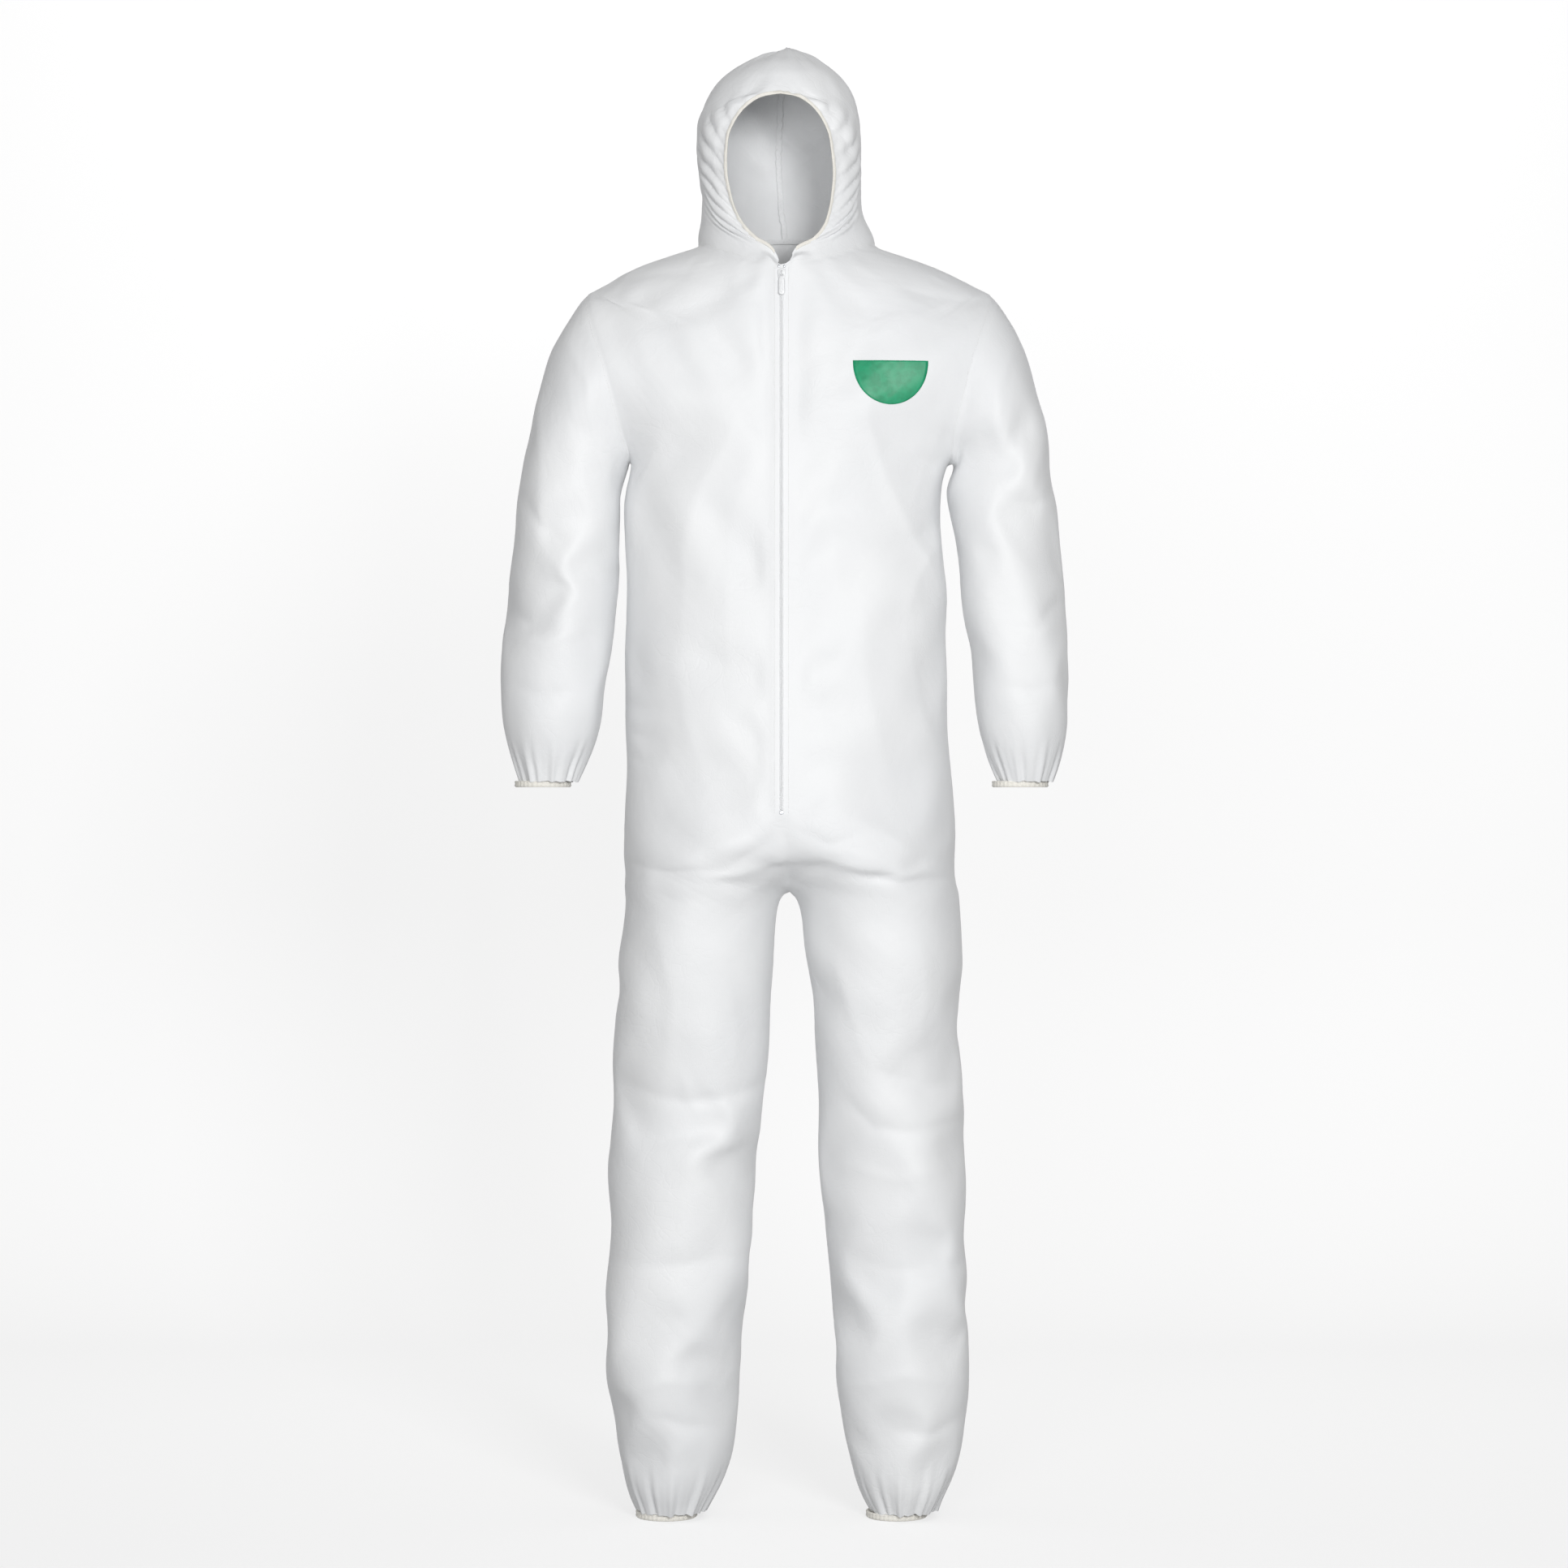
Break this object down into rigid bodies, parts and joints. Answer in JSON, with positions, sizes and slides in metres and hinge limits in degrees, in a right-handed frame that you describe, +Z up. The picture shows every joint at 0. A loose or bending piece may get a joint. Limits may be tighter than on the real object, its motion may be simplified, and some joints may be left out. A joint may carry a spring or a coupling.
{
  "type": "chemical protective suit",
  "caption": "White hooded one-piece protective suit with a front zip, elastic face, wrist and ankle openings and a plain green chest patch.",
  "frame": {"origin": "on the ground between the feet, at the middle of the suit's box", "axes": "+Z up the standing suit, +X to the wearer's left, the zip faces -Y"},
  "size_m": [0.701, 0.2722, 1.81],
  "materials": {
    "suit_fabric": "white film-faced non-woven, soft satin",
    "elastic": "ivory knitted elastic, matte",
    "zip_tape": "white woven tape",
    "zip_coil": "white nylon coil",
    "slider": "white enamel",
    "stops": "plain metal",
    "patch": "printed film, satin"
  },
  "bodies": {
    "torso": {"left_front_panel": "suit_fabric", "right_front_panel": "suit_fabric", "left_back_panel": "suit_fabric", "right_back_panel": "suit_fabric", "left_sleeve_head": "suit_fabric", "right_sleeve_head": "suit_fabric", "left_zip_tape": "zip_tape", "right_zip_tape": "zip_tape", "zip_coil": "zip_coil", "zip_top_stops": "stops", "zip_bottom_stop": "stops", "waist_elastic": "elastic", "chest_patch": "patch"},
    "slider": {"zip_slider": "slider"},
    "tab": {"pull_tab": "slider"},
    "hood": {"left_hood_panel": "suit_fabric", "right_hood_panel": "suit_fabric", "face_elastic": "elastic"},
    "left_upper_arm": {"left_upper_sleeve": "suit_fabric"},
    "left_forearm": {"left_lower_sleeve": "suit_fabric", "left_wrist_elastic": "elastic"},
    "left_upper_leg": {"left_front_thigh": "suit_fabric", "left_back_thigh": "suit_fabric"},
    "left_lower_leg": {"left_front_shin": "suit_fabric", "left_back_shin": "suit_fabric", "left_ankle_elastic": "elastic"},
    "right_upper_arm": {"right_upper_sleeve": "suit_fabric"},
    "right_forearm": {"right_lower_sleeve": "suit_fabric", "right_wrist_elastic": "elastic"},
    "right_upper_leg": {"right_front_thigh": "suit_fabric", "right_back_thigh": "suit_fabric"},
    "right_lower_leg": {"right_front_shin": "suit_fabric", "right_back_shin": "suit_fabric", "right_ankle_elastic": "elastic"}
  },
  "joints": [
    {"name": "zip_slide", "type": "slide", "parent": "torso", "child": "slider", "axis": [0, -0.0493, -0.9988], "range_m": [0, 0.64]},
    {"name": "tab_swing", "type": "hinge", "parent": "slider", "child": "tab", "pos_m": [0, -0.11234, 1.51929], "axis": [-1, 0, 0], "range_deg": [0, 160]},
    {"name": "hood_tip", "type": "hinge", "parent": "torso", "child": "hood", "pos_m": [0, 0.07, 1.58], "axis": [-1, 0, 0], "range_deg": [0, 45]},
    {"name": "left_shoulder", "type": "hinge", "parent": "torso", "child": "left_upper_arm", "pos_m": [0.2922, 0, 1.3606], "axis": [0, -1, 0], "range_deg": [0, 60]},
    {"name": "left_elbow", "type": "hinge", "parent": "left_upper_arm", "child": "left_forearm", "pos_m": [0.284, -0.045, 1.07], "axis": [-1, 0, 0], "range_deg": [0, 70]},
    {"name": "left_hip", "type": "hinge", "parent": "torso", "child": "left_upper_leg", "pos_m": [0.11, -0.05, 0.748], "axis": [-1, 0, 0], "range_deg": [0, 45]},
    {"name": "left_knee", "type": "hinge", "parent": "left_upper_leg", "child": "left_lower_leg", "pos_m": [0.126, 0.055, 0.49], "axis": [1, 0, 0], "range_deg": [0, 70]},
    {"name": "right_shoulder", "type": "hinge", "parent": "torso", "child": "right_upper_arm", "pos_m": [-0.2922, 0, 1.3606], "axis": [0, 1, 0], "range_deg": [0, 60]},
    {"name": "right_elbow", "type": "hinge", "parent": "right_upper_arm", "child": "right_forearm", "pos_m": [-0.284, -0.045, 1.07], "axis": [-1, 0, 0], "range_deg": [0, 70]},
    {"name": "right_hip", "type": "hinge", "parent": "torso", "child": "right_upper_leg", "pos_m": [-0.11, -0.05, 0.748], "axis": [-1, 0, 0], "range_deg": [0, 45]},
    {"name": "right_knee", "type": "hinge", "parent": "right_upper_leg", "child": "right_lower_leg", "pos_m": [-0.126, 0.055, 0.49], "axis": [1, 0, 0], "range_deg": [0, 70]}
  ]
}
